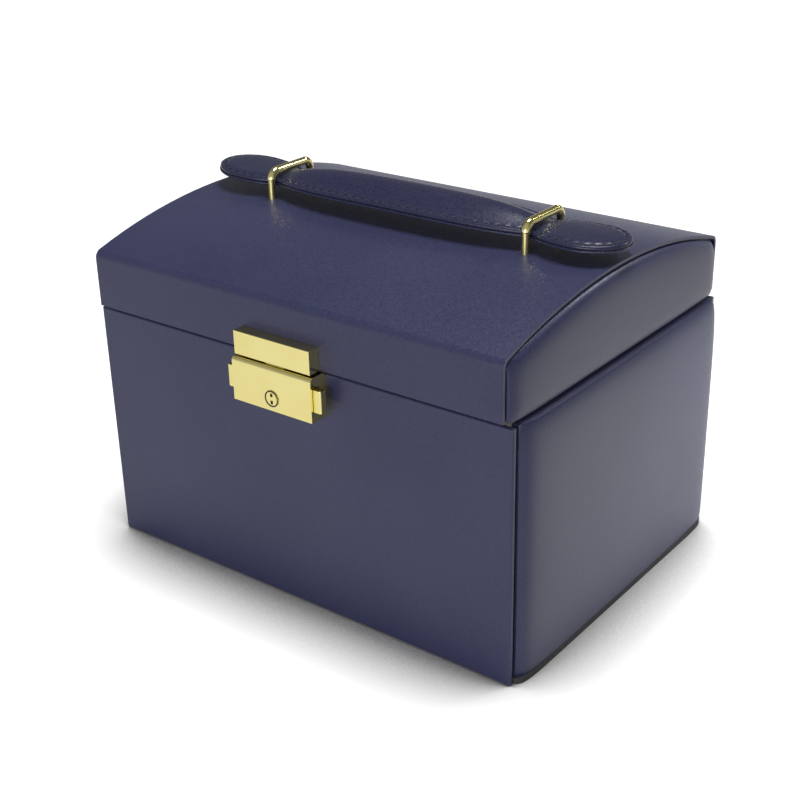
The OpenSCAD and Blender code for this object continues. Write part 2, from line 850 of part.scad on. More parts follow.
// Foam rolls with round backs; rings sit in the slots between them.
module ring_rolls() {
    r = (roll_pitch - roll_slot) / 2;
    color(lining)
        for (i = [0:roll_count - 1])
            translate([0, tray_in_front + (i + 0.5) * roll_pitch, tray_pad_z])
                along_x(-tray_in_x, roll_edge)
                    union() {
                        translate([-r, 0]) square([2 * r, roll_h - r]);
                        intersection() {
                            translate([0, roll_h - r]) circle(r);
                            translate([-r, 0]) square([2 * r, roll_h]);
                        }
                    }
}

module tray_pads() {
    middle = (tray_in_front + tray_in_back) / 2;
    x0 = roll_edge + divider_t;
    color(lining) {
        block(x0, tray_in_x, tray_in_front, middle - divider_t / 2, tray_pad_z,
            tray_pad_z + pad_t);
        block(x0, tray_in_x, middle + divider_t / 2, tray_in_back, tray_pad_z,
            tray_pad_z + pad_t);
    }
}

// Shouldered studs on the sides of the tray: one turns in an arm, one in a bracket.
module tray_pivots() {
    color(gold)
        for (side = [0, 1])
            mirror([side, 0, 0])
                for (p = [lid_pivot, tray_pivot]) {
                    bar_x(tray_in_x, arm_x + pin_end_clear / 2, p[0], p[1], pivot_r);
                    bar_x(tray_x, arm_x - arm_t - pin_fit, p[0], p[1], pivot_shoulder_r);
                }
}

// ---- lock ----

// A pressed shell with an open back: the tongue enters at the top, a button at each
// side, and the key plug turns in a boss behind the front.
module lock_case() {
    x = lock_w / 2;
    color(gold)
        difference() {
            union() {
                difference() {
                    intersection() {
                        block(-x, x, lock_front, -half_d, lock_bottom, lock_top);
                        along_x(-x, x) lock_section();
                    }
                    block(-x + lock_wall, x - lock_wall, lock_inner, -half_d + 1,
                        lock_bottom + lock_wall, lock_top - lock_wall);
                }
                bar_y(lock_inner - eps, lock_inner + plug_boss_l, 0, plug_height, plug_boss_r);
            }
            bar_y(lock_front - 1, -half_d, 0, plug_height, plug_d / 2 + pin_fit);
            block(-tongue_w / 2 - bar_gap, tongue_w / 2 + bar_gap, tongue_y - bar_gap,
                tongue_y + tongue_t + bar_gap, lock_top - lock_wall - 1, lock_top + 1);
            block(-x - 1, x + 1, button_y - button_gap, button_y + button_d + button_gap,
                button_z - button_gap, button_z + button_h + button_gap);
        }
}

// Side view of the lock case: the upper front edge is rounded.
module lock_section() {
    union() {
        translate([lock_front, lock_bottom]) square([lock_d, lock_h - lock_top_r]);
        translate([lock_front + lock_top_r, lock_bottom]) square([lock_d - lock_top_r, lock_h]);
        translate([lock_front + lock_top_r, lock_top - lock_top_r]) circle(lock_top_r);
    }
}

module lock_back_plate() {
    x = lock_w / 2 - lock_wall - slot_play;
    color(steel)
        difference() {
            block(-x, x, -half_d - lock_plate_t, -half_d, lock_bottom + lock_wall + slot_play,
                lock_top - lock_wall - slot_play);
            for (side = [-1, 1])
                bar_y(-half_d - 1 - lock_plate_t, -half_d + 1, side * lock_rivet_x, lock_rivet_z,
                    rivet_r + rivet_fit);
        }
}

module lock_rivets() {
    color(steel)
        for (x = [-lock_rivet_x, lock_rivet_x]) {
            bar_y(-half_d - lock_plate_t - rivet_head_h, -half_d - lock_plate_t, x, lock_rivet_z,
                rivet_head_r - 0.2);
            bar_y(-half_d - lock_plate_t, -half_d + front_t, x, lock_rivet_z, rivet_r);
            bar_y(-half_d + front_t, -half_d + front_t + rivet_head_h, x, lock_rivet_z,
                rivet_head_r);
        }
}

// One button: the cap outside, a flange that stops behind the side wall, and a bar
// that reaches past the tongue and ends in a catch on its far side.
module button(side, bar_y0, catch_y0, catch_y1) {
    far = tongue_w / 2 + catch_clear;
    mirror([side < 0 ? 0 : 1, 0, 0])
        union() {
            translate([-button_flange_x, button_y, button_z]) mirror([1, 0, 0])
                button_cap(lock_w / 2 + button_out - button_flange_x);
            block(-button_flange_x, -button_flange_x + button_flange_t,
                bar_front_y, bar_rear_y + bar_t, button_z - button_lap,
                button_z + button_h + button_lap);
            block(-button_flange_x, far + catch_l, bar_y0, bar_y0 + bar_t, bar_low,
                bar_low + bar_h);
            block(far, far + catch_l, catch_y0, catch_y1, catch_z, catch_z + catch_h);
        }
}

// Cap of a button: its outer upright edges are rounded.
module button_cap(l) {
    r = 0.8;
    linear_extrude(button_h)
        union() {
            square([l - r, button_d]);
            translate([0, r]) square([l, button_d - 2 * r]);
            translate([l - r, r]) circle(r);
            translate([l - r, button_d - r]) circle(r);
        }
}
module button_left() {
    color(gold) button(-1, bar_front_y, bar_front_y, tongue_y + tongue_t);
}
module button_right() {
    color(gold) button(1, bar_rear_y, tongue_y, bar_rear_y + bar_t);
}

// Helical spring along X, swept as rings of six points.
module coil(length, radius, wire, turns) {
    ring = 6;
    steps = 10;
    count = turns * steps;
    points = [for (i = [0:count]) for (j = [0:ring - 1])
        let (turn = 360 * i / steps, a = 360 * j / ring, rr = radius + wire * cos(a))
        [length * i / count + wire * sin(a), rr * cos(turn), rr * sin(turn)]];
    walls = [for (i = [0:count - 1]) for (j = [0:ring - 1])
        let (k = (j + 1) % ring)
        [i * ring + j, i * ring + k, (i + 1) * ring + k, (i + 1) * ring + j]];
    ends = [[for (j = [ring - 1:-1:0]) j], [for (j = [0:ring - 1]) count * ring + j]];
    polyhedron(points, concat(walls, ends), convexity = 10);
}
module button_springs() {
    wire = spring_wire / 2;
    length = button_flange_x - button_flange_t - spring_seat - 2 * wire - 0.2;
    color(steel)
        for (side = [0, 1])
            mirror([side, 0, 0])
                translate([spring_seat + wire, spring_y, spring_z])
                    coil(length, spring_d / 2 - wire, wire, spring_turns);
}

// Round plug with a key slot that leaves a pin standing at its middle.
module key_plug() {
    slot_w = 1.3;
    slot_h = 4.8;
    slot_depth = 3;
    pin_r = 0.9;
    face_y = lock_front - 0.25;
    flange_y = lock_inner + plug_boss_l + pin_fit;
    color(gold)
        difference() {
            union() {
                bar_y(face_y, flange_y, 0, plug_height, plug_d / 2);
                bar_y(flange_y, flange_y + 0.5, 0, plug_height, plug_boss_r - 0.1);
            }
            difference() {
                block(-slot_w / 2, slot_w / 2, face_y - 1, face_y + slot_depth,
                    plug_height - slot_h / 2, plug_height + slot_h / 2);
                bar_y(face_y - 1, face_y + slot_depth + 1, 0, plug_height, pin_r);
            }
        }
}

module hasp_block() {
    x = hasp_w / 2;
    color(gold)
        difference() {
            translate([-x, -lid_half_d - hasp_d, hasp_bottom])
                wrapped_board(hasp_w, hasp_h, hasp_d, hasp_edge_r, hasp_edge_r);
            block(-tongue_w / 2, tongue_w / 2, tongue_y, tongue_y + tongue_t,
                hasp_bottom - 1, tongue_top);
            for (side = [-1, 1])
                bar_y(-lid_half_d - hasp_d / 2, -lid_half_d + 1, side * hasp_rivet_x,
                    hasp_rivet_z, rivet_r + rivet_fit);
        }
}

// A steel blade, narrowed where the catches of the buttons close on it.
module hasp_tongue() {
    color(steel)
        difference() {
            block(-tongue_w / 2, tongue_w / 2, tongue_y, tongue_y + tongue_t, tongue_z,
                tongue_top);
            for (side = [0, 1])
                mirror([side, 0, 0])
                    block(tongue_w / 2 - tongue_neck, tongue_w, tongue_y - 1,
                        tongue_y + tongue_t + 1, catch_z - catch_clear,
                        catch_z + catch_h + catch_clear);
        }
}

module hasp_rivets() {
    color(steel)
        for (x = [-hasp_rivet_x, hasp_rivet_x]) {
            bar_y(-lid_half_d - hasp_d / 2, -lid_half_d + skin_t, x, hasp_rivet_z, rivet_r);
            bar_y(-lid_half_d + skin_t, -lid_half_d + skin_t + rivet_head_h, x,
                hasp_rivet_z, rivet_head_r);
        }
}

// ---- handle ----

// A quarter ring of wire in the YZ plane, from +Y to +Z. The wire thins a little where
// it is bent, and the bend laps into both of its straight runs by a few degrees.
module wire_corner() {
    lap = 3;
    rotate([90, 0, 90]) rotate([0, 0, -lap])
        rotate_extrude(angle = 90 + 2 * lap)
            translate([wire_bend, 0]) circle(wire_r - bend_thin);
}

// Square loop of round wire whose two legs go down through the lid.
module handle_loop(x) {
    corner_y = leg_y - wire_bend;
    corner_z = bar_z - wire_bend;
    translate([x, 0, 0])
        union() {
            translate([0, corner_y, bar_z]) rotate([90, 0, 0]) cylinder(r = wire_r, h = 2 * corner_y);
            for (side = [0, 1])
                mirror([0, side, 0]) {
                    translate([0, corner_y, corner_z]) wire_corner();
                    translate([0, leg_y, leg_bottom]) cylinder(r = wire_r, h = corner_z - leg_bottom);
                }
        }
}
module handle_loop_left() {
    color(gold) handle_loop(loops[0]);
}
module handle_loop_right() {
    color(gold) handle_loop(loops[1]);
}

// Plates under the arch that the legs pass through.
module loop_plates() {
    plate_half_x = 5;
    color(steel)
        for (x = loops)
            difference() {
                block(x - plate_half_x, x + plate_half_x, -loop_plate_half_y, loop_plate_half_y,
                    loop_plate_z, loop_plate_top);
                for (y = [-leg_y, leg_y])
                    translate([x, y, loop_plate_z - 1])
                        cylinder(r = wire_r + rivet_fit, h = loop_plate_t + 2);
            }
}
module loop_nuts() {
    color(steel)
        for (x = loops)
            for (y = [-leg_y, leg_y])
                translate([x, y, loop_plate_z - nut_h])
                    difference() {
                        cylinder(r = nut_r, h = nut_h);
                        translate([0, 0, -1]) cylinder(r = wire_r + rivet_fit, h = nut_h + 2);
                    }
}

// The strap seen from above.
module strap_body(bottom, h) {
    quarter = [for (x = strap_steps) [x, strap_half(x)]];
    last = len(quarter) - 1;
    translate([handle_shift, 0, bottom])
        linear_extrude(h)
            polygon(concat(
                quarter,
                [for (i = [last - 1:-1:0]) [quarter[i][0], -quarter[i][1]]],
                [for (i = [1:last]) [-quarter[i][0], -quarter[i][1]]],
                [for (i = [last - 1:-1:1]) [-quarter[i][0], quarter[i][1]]]));
}

// The strap seen from the front: level at the loops and tabs, swelling between them.
module upper_side() {
    steps = [for (a = [-90:10:90]) swell_half * sin(a)];
    translate([handle_shift, strap_w, strap_split]) rotate([90, 0, 0])
        linear_extrude(2 * strap_w)
            polygon(concat(
                [[strap_l, upper_t], [strap_l, 0], [-strap_l, 0], [-strap_l, upper_t]],
                [for (x = steps) [x, upper_height(abs(x))]]));
}

// Padded upper: flat below and crowned above.
module strap_upper() {
    thick = upper_t + swell;
    rise = thick - upper_edge_t;
    crown_r = (strap_w * strap_w / 4 + rise * rise) / (2 * rise);
    color(leather)
        intersection() {
            strap_body(strap_split, thick + 1);
            upper_side();
            along_x(-strap_l, strap_l)
                translate([0, strap_split + thick - crown_r]) circle(crown_r, $fn = arc_fn);
        }
}
module strap_lining() {
    color(leather) strap_body(strap_bottom, lining_t);
}

base_cover();
base_board();
front_board();
back_board();
side_board_left();
side_board_right();
liner_front();
liner_back();
liner_left();
liner_right();
floor_pad();
divider_long();
divider_cross();
hinge_case_leaf_left();
hinge_case_leaf_right();
hinge_pins();
hinge_screws_case();
lock_case();
lock_back_plate();
lock_rivets();
button_springs();
arm_pivots();
lid_skin();
lid_end_left();
lid_end_right();
lid_liner_front();
lid_liner_back();
lid_liner_left();
lid_liner_right();
lid_ceiling();
mirror_plate();  // mirror
mirror_frame();
hinge_lid_leaf_left();
hinge_lid_leaf_right();
hinge_screws_lid();
hasp_block();
hasp_tongue();
hasp_rivets();
handle_loop_left();
handle_loop_right();
loop_plates();
loop_nuts();
lid_bracket_left();
lid_bracket_right();
bracket_screws();
arm_left();
arm_right();
tray_shell();
tray_divider_long();
tray_divider_cross();
ring_rolls();
tray_pads();
tray_pivots();
button_left();
button_right();
key_plug();
strap_upper();
strap_lining();
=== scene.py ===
# %% [markdown]
# A leather jewellery case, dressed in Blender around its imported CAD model. The CAD
# gives every piece its size, its place and its joints, so nothing has to be fitted by
# eye. This script adds what a CAD solid lacks: finishes, soft edges, padding, stitches
# and light. Blender works in metres. A number in millimetres is either multiplied by
# MM at once, or its name or the title of its cell says that it is in millimetres.

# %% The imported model
import json
import math

import bmesh
import bpy
from mathutils import Matrix, Vector


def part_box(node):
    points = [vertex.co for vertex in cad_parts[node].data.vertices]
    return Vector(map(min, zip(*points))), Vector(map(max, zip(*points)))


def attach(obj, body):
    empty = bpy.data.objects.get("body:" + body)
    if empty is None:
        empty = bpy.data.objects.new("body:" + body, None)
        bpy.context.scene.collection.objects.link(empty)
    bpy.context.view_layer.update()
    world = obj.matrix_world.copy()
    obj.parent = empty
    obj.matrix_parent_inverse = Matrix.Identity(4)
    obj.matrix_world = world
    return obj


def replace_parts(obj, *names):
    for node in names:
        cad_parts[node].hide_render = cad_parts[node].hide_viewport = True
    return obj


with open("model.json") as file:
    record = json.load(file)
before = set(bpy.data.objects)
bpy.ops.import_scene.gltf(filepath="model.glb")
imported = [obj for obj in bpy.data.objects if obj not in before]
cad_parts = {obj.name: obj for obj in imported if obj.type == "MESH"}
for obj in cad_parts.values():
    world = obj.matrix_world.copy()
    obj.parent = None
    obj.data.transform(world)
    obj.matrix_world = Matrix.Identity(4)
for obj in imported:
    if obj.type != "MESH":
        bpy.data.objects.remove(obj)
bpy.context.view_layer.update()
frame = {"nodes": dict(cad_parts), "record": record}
nodes = frame["nodes"]
MM = 0.001

# %% [markdown]
# The camera. The case is seen from its right front corner and a little above the
# lid, through a lens of about 63 mm on a full-frame sensor. A camera object could be
# aimed with a constraint, but three plain turns are easier to read: a turn about the
# vertical, a tilt from looking straight down, and a slight roll.

# %% Camera
LENS_MM = 63.213
YAW = math.radians(37.721)
PITCH = math.radians(24.989)
ROLL = math.radians(-1.247)
EYE = Vector((0.35731, -0.46915, 0.34018))

camera_data = bpy.data.cameras.new("camera")
camera_data.lens = LENS_MM
camera = bpy.data.objects.new("camera", camera_data)
bpy.context.collection.objects.link(camera)
aim = Matrix.Rotation(YAW, 4, "Z") @ Matrix.Rotation(math.pi / 2 - PITCH, 4, "X")
camera.matrix_world = Matrix.Translation(EYE) @ aim @ Matrix.Rotation(ROLL, 4, "Z")
bpy.context.scene.camera = camera
bpy.context.scene.view_settings.view_transform = "Standard"
print("camera at", [round(v, 3) for v in EYE])

# %% [markdown]
# Shader maths. A finish is a small sum of noises, and a sum reads best as a sum. The
# first class wraps one output socket, so that plus, minus and times add Math nodes, and
# one method adds any other node from its kind, its options and its inputs. The second
# is a whole material. Nodes could be wired by hand in the shader editor, but then each
# finish would be a page of links.

# %% A socket that can be added and multiplied
class Signal:
    def __init__(self, tree, socket=None):
        self.tree = tree
        self.socket = socket

    def put(self, socket, value):
        if isinstance(value, Signal):
            self.tree.links.new(value.socket, socket)
        else:
            socket.default_value = value

    def node(self, kind, settings, inputs, output=0):
        made = self.tree.nodes.new(kind)
        for name, value in settings.items():
            setattr(made, name, value)
        for name, value in inputs.items():
            self.put(made.inputs[name], value)
        return Signal(self.tree, made.outputs[output])

    def math(self, operation, first, second):
        return self.node("ShaderNodeMath", {"operation": operation}, {0: first, 1: second})

    def __add__(self, other):
        return self.math("ADD", self, other)

    def __radd__(self, other):
        return self.math("ADD", other, self)

    def __sub__(self, other):
        return self.math("SUBTRACT", self, other)

    def __mul__(self, other):
        return self.math("MULTIPLY", self, other)

    def __rmul__(self, other):
        return self.math("MULTIPLY", other, self)

    def span(self, low, high, to_low=0.0, to_high=1.0):
        """Maps low to to_low and high to to_high, and holds still beyond them."""
        sockets = {0: self, 1: low, 2: high, 3: to_low, 4: to_high}
        return self.node("ShaderNodeMapRange", {}, sockets)

    def part(self, axis):
        return self.node("ShaderNodeSeparateXYZ", {}, {"Vector": self}, axis)


# %% A material with shortcuts for noises
class Finish:
    """A material whose fixed values are given by name."""

    def __init__(self, name, **fixed):
        self.name = name
        self.material = bpy.data.materials.new(name)
        self.material.use_nodes = True
        self.tree = self.material.node_tree
        self.surface = self.tree.nodes["Principled BSDF"]
        for socket, value in fixed.items():
            self.surface.inputs[socket.replace("_", " ")].default_value = value
        self.start = Signal(self.tree)
        self.place = self.start.node("ShaderNodeTexCoord", {}, {}, "Object")

    def noise(self, scale, detail=2.0, rough=0.5):
        sockets = {"Vector": self.place, "Scale": scale, "Detail": detail, "Roughness": rough}
        return self.start.node("ShaderNodeTexNoise", {}, sockets, "Fac")

    def blend(self, factor, first, second):
        sockets = {0: factor, 6: (*first, 1.0), 7: (*second, 1.0)}
        return self.start.node("ShaderNodeMix", {"data_type": "RGBA"}, sockets, 2)

    def feed(self, socket, signal):
        self.start.put(self.surface.inputs[socket], signal)

    def dye(self, factor, deep, pale):
        self.feed("Base Color", self.blend(factor, deep, pale))

    def polish(self, noise, smooth, rough):
        """Most of a noise lies between 0.3 and 0.7, and spreads over the given range."""
        self.feed("Roughness", noise.span(0.3, 0.7, smooth, rough))

    def bump(self, height, depth, strength=1.0):
        sockets = {"Height": height, "Distance": depth, "Strength": strength}
        self.feed("Normal", self.start.node("ShaderNodeBump", {}, sockets))


finishes = {}


def keep(finish):
    finishes[finish.name] = finish.material
    print("finish", finish.name, "with", len(finish.tree.nodes), "nodes")


# %% [markdown]
# The leather. The case is covered in a smooth coated split leather: navy, with a very
# fine pebble that shows only close up, and a faint pearl sheen. The strap is the same
# leather in a darker dye. Both come from one function that takes the two tones of the
# dye. An image of hide would show its own repeats, so the pebble is a fine noise, which
# also speckles the dye, and the clouding of the dye is a slow one.

# %% Leather finishes
GRAIN_SCALE = 900.0
CREASE_SCALE = 270.0


def leather(name, deep, pale, grain_mm, roughness, gloss):
    finish = Finish(name, Sheen_Weight=0.06, Sheen_Roughness=0.4, Specular_IOR_Level=gloss)
    cloud = finish.noise(scale=18.0, detail=3.0)
    speck = finish.noise(GRAIN_SCALE)
    finish.dye((cloud + 1.1 * speck).span(0.75, 1.35), deep, pale)
    finish.polish(speck, roughness - 0.05, roughness + 0.08)
    pebble = finish.noise(GRAIN_SCALE, detail=3.0, rough=0.6)
    finish.bump(pebble + 0.6 * finish.noise(CREASE_SCALE), grain_mm * MM, 0.5)
    keep(finish)


leather(
    "case_leather", deep=(0.031, 0.034, 0.092), pale=(0.045, 0.049, 0.117),
    grain_mm=0.09, roughness=0.33, gloss=0.45)
leather(
    "strap_leather", deep=(0.016, 0.018, 0.054), pale=(0.028, 0.030, 0.076),
    grain_mm=0.12, roughness=0.28, gloss=0.42)

# %% [markdown]
# The thread of the strap is waxed nylon in the same navy, a little glossier than the
# leather it is sewn through. Every stitch is modelled, so the finish only has to hint
# at the twist of the plies. A wave texture would repeat its bands too evenly, and a
# very fine noise is enough at this size.

# %% Thread finish
thread = Finish("strap_thread", Specular_IOR_Level=0.45)
twist = thread.noise(scale=2600.0, detail=1.0)
thread.dye(twist, (0.006, 0.007, 0.018), (0.018, 0.020, 0.042))
thread.polish(twist, 0.34, 0.46)
thread.bump(twist, 0.06 * MM, 0.6)
keep(thread)

# %% [markdown]
# The metals. The lock, the hinges and the handle loops are pressed or bent brass with
# a polished pale gold plating, which stays nearly a mirror: only the faintest clouding
# breaks up its reflections. The hidden blade and nuts are plain steel. The mirror is
# silvered glass; a pane of glass over a silver sheet would render slower and look the
# same, so one smooth metal stands for both.

# %% Metal finishes
def metal(name, deep, pale, smooth, rough):
    finish = Finish(name, Metallic=1.0)
    finish.dye(finish.noise(scale=60.0, detail=3.0), deep, pale)
    finish.polish(finish.noise(scale=400.0), smooth, rough)
    finish.bump(finish.noise(scale=250.0), 0.02 * MM, 0.15)
    keep(finish)


metal("gold_plate", (0.90, 0.78, 0.30), (0.97, 0.88, 0.40), 0.12, 0.18)
metal("plain_steel", (0.50, 0.51, 0.53), (0.62, 0.63, 0.65), 0.22, 0.34)
metal("mirror_glass", (0.86, 0.88, 0.89), (0.88, 0.90, 0.91), 0.01, 0.02)

# %% [markdown]
# The cloths. The inside is lined with a pale suede cloth on board, and the soft parts
# are covered in a velvet of the same shade. Both are matt, with short fibres that
# catch light at the edges. Real fibres would take millions of hairs, so the cloths get
# sheen, a fine fibre bump and a slow cloudiness where the pile has been brushed. The
# dark covering paper under the case is the same recipe without sheen.

# %% Lining finishes
def pile(name, deep, pale, fibre_scale, fibre_mm, sheen):
    finish = Finish(name, Sheen_Weight=sheen, Sheen_Roughness=0.6, Specular_IOR_Level=0.15)
    brushed = finish.noise(scale=35.0, detail=3.0)
    fibre = finish.noise(fibre_scale)
    finish.dye(0.7 * brushed + 0.3 * fibre, deep, pale)
    finish.polish(fibre, 0.82, 0.95)
    finish.bump(fibre, fibre_mm * MM, 0.6)
    keep(finish)


pile("lining_suede", (0.50, 0.44, 0.36), (0.68, 0.61, 0.51), 1800.0, 0.15, 0.3)
pile("pad_velvet", (0.55, 0.49, 0.41), (0.74, 0.67, 0.57), 1300.0, 0.3, 0.6)
pile("base_paper", (0.060, 0.060, 0.064), (0.085, 0.085, 0.090), 2200.0, 0.08, 0.0)

# %% [markdown]
# The finishes go onto the CAD nodes. They could be set one by one, but the record
# already names a finish for every node, so one loop over it is enough.

# %% Finishes onto the nodes
slots = {part["node"]: part["material_slot"] for part in frame["record"]["subparts"]}
for name, slot in slots.items():
    mesh = nodes[name].data
    mesh.materials.clear()
    mesh.materials.append(finishes[slot])
print("finished", len(slots), "nodes")

# %% [markdown]
# Making a piece. Every new piece is a mesh whose place is in its own vertices. The
# first helper turns a finished bmesh into an object, gives it its finish and lets it
# ride on its body. The second applies a modifier, so that the mesh holds its result.

# %% A bmesh becomes a piece
TOUCHING = 1e-6


def piece(name, shape, slot, body, finish=None, sharp=40.0):
    mesh = bpy.data.meshes.new(name)
    for face in shape.faces:
        face.smooth = True
    shape.to_mesh(mesh)
    shape.free()
    mesh.set_sharp_from_angle(angle=math.radians(sharp))
    mesh.materials.append(finishes[finish or slot])
    made = bpy.data.objects.new(name, mesh)
    bpy.context.collection.objects.link(made)
    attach(made, body)
    print(name, "has", len(mesh.polygons), "faces")
    return made


def apply(made, modifier):
    bpy.context.view_layer.objects.active = made
    bpy.ops.object.modifier_apply(modifier=modifier.name)


def close_shell(shape):
    bmesh.ops.remove_doubles(shape, verts=shape.verts, dist=TOUCHING)
    bmesh.ops.recalc_face_normals(shape, faces=shape.faces)


def new_verts(made):
    return [item for item in made["geom"] if isinstance(item, bmesh.types.BMVert)]


def open_edges(shape):
    return [edge for edge in shape.edges if edge.is_boundary]


# %% [markdown]
# Soft edges. A wrapped board or a pressed plate never has a dead sharp edge, and the
# thin line of light along an edge is what shows the eye that it is leather over board
# or plated metal. The CAD nodes hold the large roundings. A copy of each visible node
# has its triangles dissolved back into whole faces, and its remaining sharp edges get
# a bevel of a few tenths of a millimetre. A bevel on the loose triangles themselves
# would break at every seam. The wire of the loops is swelled instead, to the fuller
# look that its plating gives it.

# %% A softened copy of a CAD node
WELD = 2e-6
FLAT = math.radians(1.0)
SHARP_FROM = math.radians(35.0)


def whole_faces(name):
    """A copy of a CAD node whose triangles are dissolved back into whole faces."""
    shape = bmesh.new()
    shape.from_mesh(nodes[name].data)
    bmesh.ops.remove_doubles(shape, verts=shape.verts, dist=WELD)
    bmesh.ops.dissolve_limit(
        shape, angle_limit=FLAT, verts=shape.verts, edges=shape.edges,
        use_dissolve_boundaries=False)
    return shape


def soften(name, label, body, width_mm=0.0, swell_mm=0.0):
    shape = whole_faces(name)
    if width_mm:
        sharp = [
            edge for edge in shape.edges
            if edge.is_manifold and edge.calc_face_angle() > SHARP_FROM]
        bmesh.ops.bevel(
            shape, geom=sharp, offset=width_mm * MM, offset_type="OFFSET", segments=3,
            profile=0.5, affect="EDGES", material=-1, clamp_overlap=True, loop_slide=False)
    bmesh.ops.recalc_face_normals(shape, faces=shape.faces)
    shape.normal_update()
    for vert in shape.verts:
        vert.co += vert.normal * swell_mm * MM
    made = piece(label, shape, slots[name], body)
    even = made.modifiers.new("even light", "WEIGHTED_NORMAL")
    even.keep_sharp = True
    apply(made, even)
    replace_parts(made, name)


# %% Leather boards and metal fittings with soft edges
SOFT_EDGES = (
    ("front_board", "front_leather", "case", 0.25),
    ("back_board", "back_leather", "case", 0.4),
    ("lid_skin", "skin_leather", "lid", 0.4),
    ("hasp_block", "hasp_shell", "lid", 0.35),
    ("button_left", "button_cap_left", "button_left", 0.5),
    ("button_right", "button_cap_right", "button_right", 0.5),
    ("key_plug", "plug_face", "key_plug", 0.12),
    ("lock_case", "lock_shell", "case", 0.35),
)
for name, label, body, width_mm in SOFT_EDGES:
    soften(name, label, body, width_mm)
for side in ("left", "right"):
    soften("handle_loop_" + side, "wire_loop_" + side, "lid", swell_mm=0.4)

# %% [markdown]
# The side panels. The boards at the two ends of the case and of the lid are covered
# over a thin layer of foam, so their faces are not flat: they bulge by a millimetre or
# two, roll off softly at the edges, and the light slides over them. Such a bulge could
# be pulled out of a flat box with proportional editing. Here a grid is laid over the
# outline of the board, with its lines closer together near the edges, and each vertex
# sinks by a formula of its distance from the edges. The rim is then extruded straight
# back to the board's inner face.

# %% How a padded face rolls off, in millimetres
STEEP_REACH = 2.0
GENTLE_REACH = 9.0
DEEPEST = 4.8
FOOT_EDGE = (0.6, 0.2)


def close_lines(share):
    """Moves evenly spaced shares from 0 to 1 towards both ends."""
    return 0.5 - 0.5 * math.cos(math.pi * share)


def roll_off(distance, steep, gentle):
    """How far the face sinks, in mm, at a distance in mm from an edge."""
    near = steep * math.exp(-distance / STEEP_REACH)
    return near + gentle * math.exp(-distance / GENTLE_REACH)


print("a side panel sinks", round(roll_off(0.0, 3.0, 1.4), 1), "mm at its front edge")

# %% A level top, and the arch that the lid follows, in millimetres
LID_HALF_D = 85.2
CROWN_RISE = 13.4
CROWN_Z = 154.4
ARCH_R = (LID_HALF_D ** 2 + CROWN_RISE ** 2) / (2 * CROWN_RISE) * MM


def level_top(y, top):
    return top, 1.0


def arched_top(y, top):
    """Height of the arch at y, and the cosine of its slope."""
    panel_r = ARCH_R + top - CROWN_Z * MM
    drop = panel_r - math.sqrt(panel_r ** 2 - y ** 2)
    return top - drop, math.sqrt(1 - (y / panel_r) ** 2)


print("the arch of the lid has a radius of", round(ARCH_R / MM), "mm")

# %% A board with a bulging face
LINES_ACROSS = 64
LINES_UP = 44


def bulging_board(node, label, body, edge, top_edge, set_in_mm, top_of):
    low, high = (Vector(corner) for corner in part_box(node))
    low.y, high.y = low.y + set_in_mm * MM, high.y - set_in_mm * MM
    side = 1.0 if high.x > 0 else -1.0
    face_x, back_x = (high.x, low.x) if side > 0 else (low.x, high.x)
    shape = bmesh.new()
    bmesh.ops.create_grid(shape, x_segments=LINES_ACROSS, y_segments=LINES_UP, size=0.5)
    for vert in shape.verts:
        across, up = close_lines(vert.co.x + 0.5), close_lines(vert.co.y + 0.5)
        y = low.y + (high.y - low.y) * across
        top, slope = top_of(y, high.z)
        z = low.z + (top - low.z) * up
        sink = roll_off((y - low.y) / MM, *edge)
        sink += roll_off((high.y - y) / MM, *edge)
        sink += roll_off((top - z) * slope / MM, *top_edge)
        sink += roll_off((z - low.z) / MM, *FOOT_EDGE)
        vert.co = (face_x - side * min(sink, DEEPEST) * MM, y, z)
    back = new_verts(bmesh.ops.extrude_edge_only(shape, edges=open_edges(shape)))
    for vert in back:
        vert.co.x = back_x
    bmesh.ops.contextual_create(shape, geom=back)
    close_shell(shape)
    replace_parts(piece(label, shape, slots[node], body, sharp=60.0), node)


SIDE_EDGE = (3.0, 1.4)
SIDE_TOP_EDGE = (1.0, 1.6)
LID_END_EDGE = (1.6, 1.0)
LID_END_TOP_EDGE = (2.2, 1.0)
for side in ("left", "right"):
    bulging_board(
        "side_board_" + side, "side_leather_" + side, "case",
        SIDE_EDGE, SIDE_TOP_EDGE, set_in_mm=0.6, top_of=level_top)
    bulging_board(
        "lid_end_" + side, "end_leather_" + side, "lid",
        LID_END_EDGE, LID_END_TOP_EDGE, set_in_mm=0.4, top_of=arched_top)

# %% [markdown]
# The foot of the case. The covered base board is cut to the outline of the case above
# it, so it draws in under the rolled ends of the side panels and shows only as a thin
# dark line. It could be a new plate with the same outline as the panels. A copy of its
# node keeps the real corners: it is cut across near both ends, and its two sides are
# moved in by the same formula that rolls off the panels.

# %% The covered foot, in millimetres
FOOT_REACH = 14.0
FOOT_CUTS = 10
FOOT_PITCH = 1.8
FOOT_SINK = 0.3


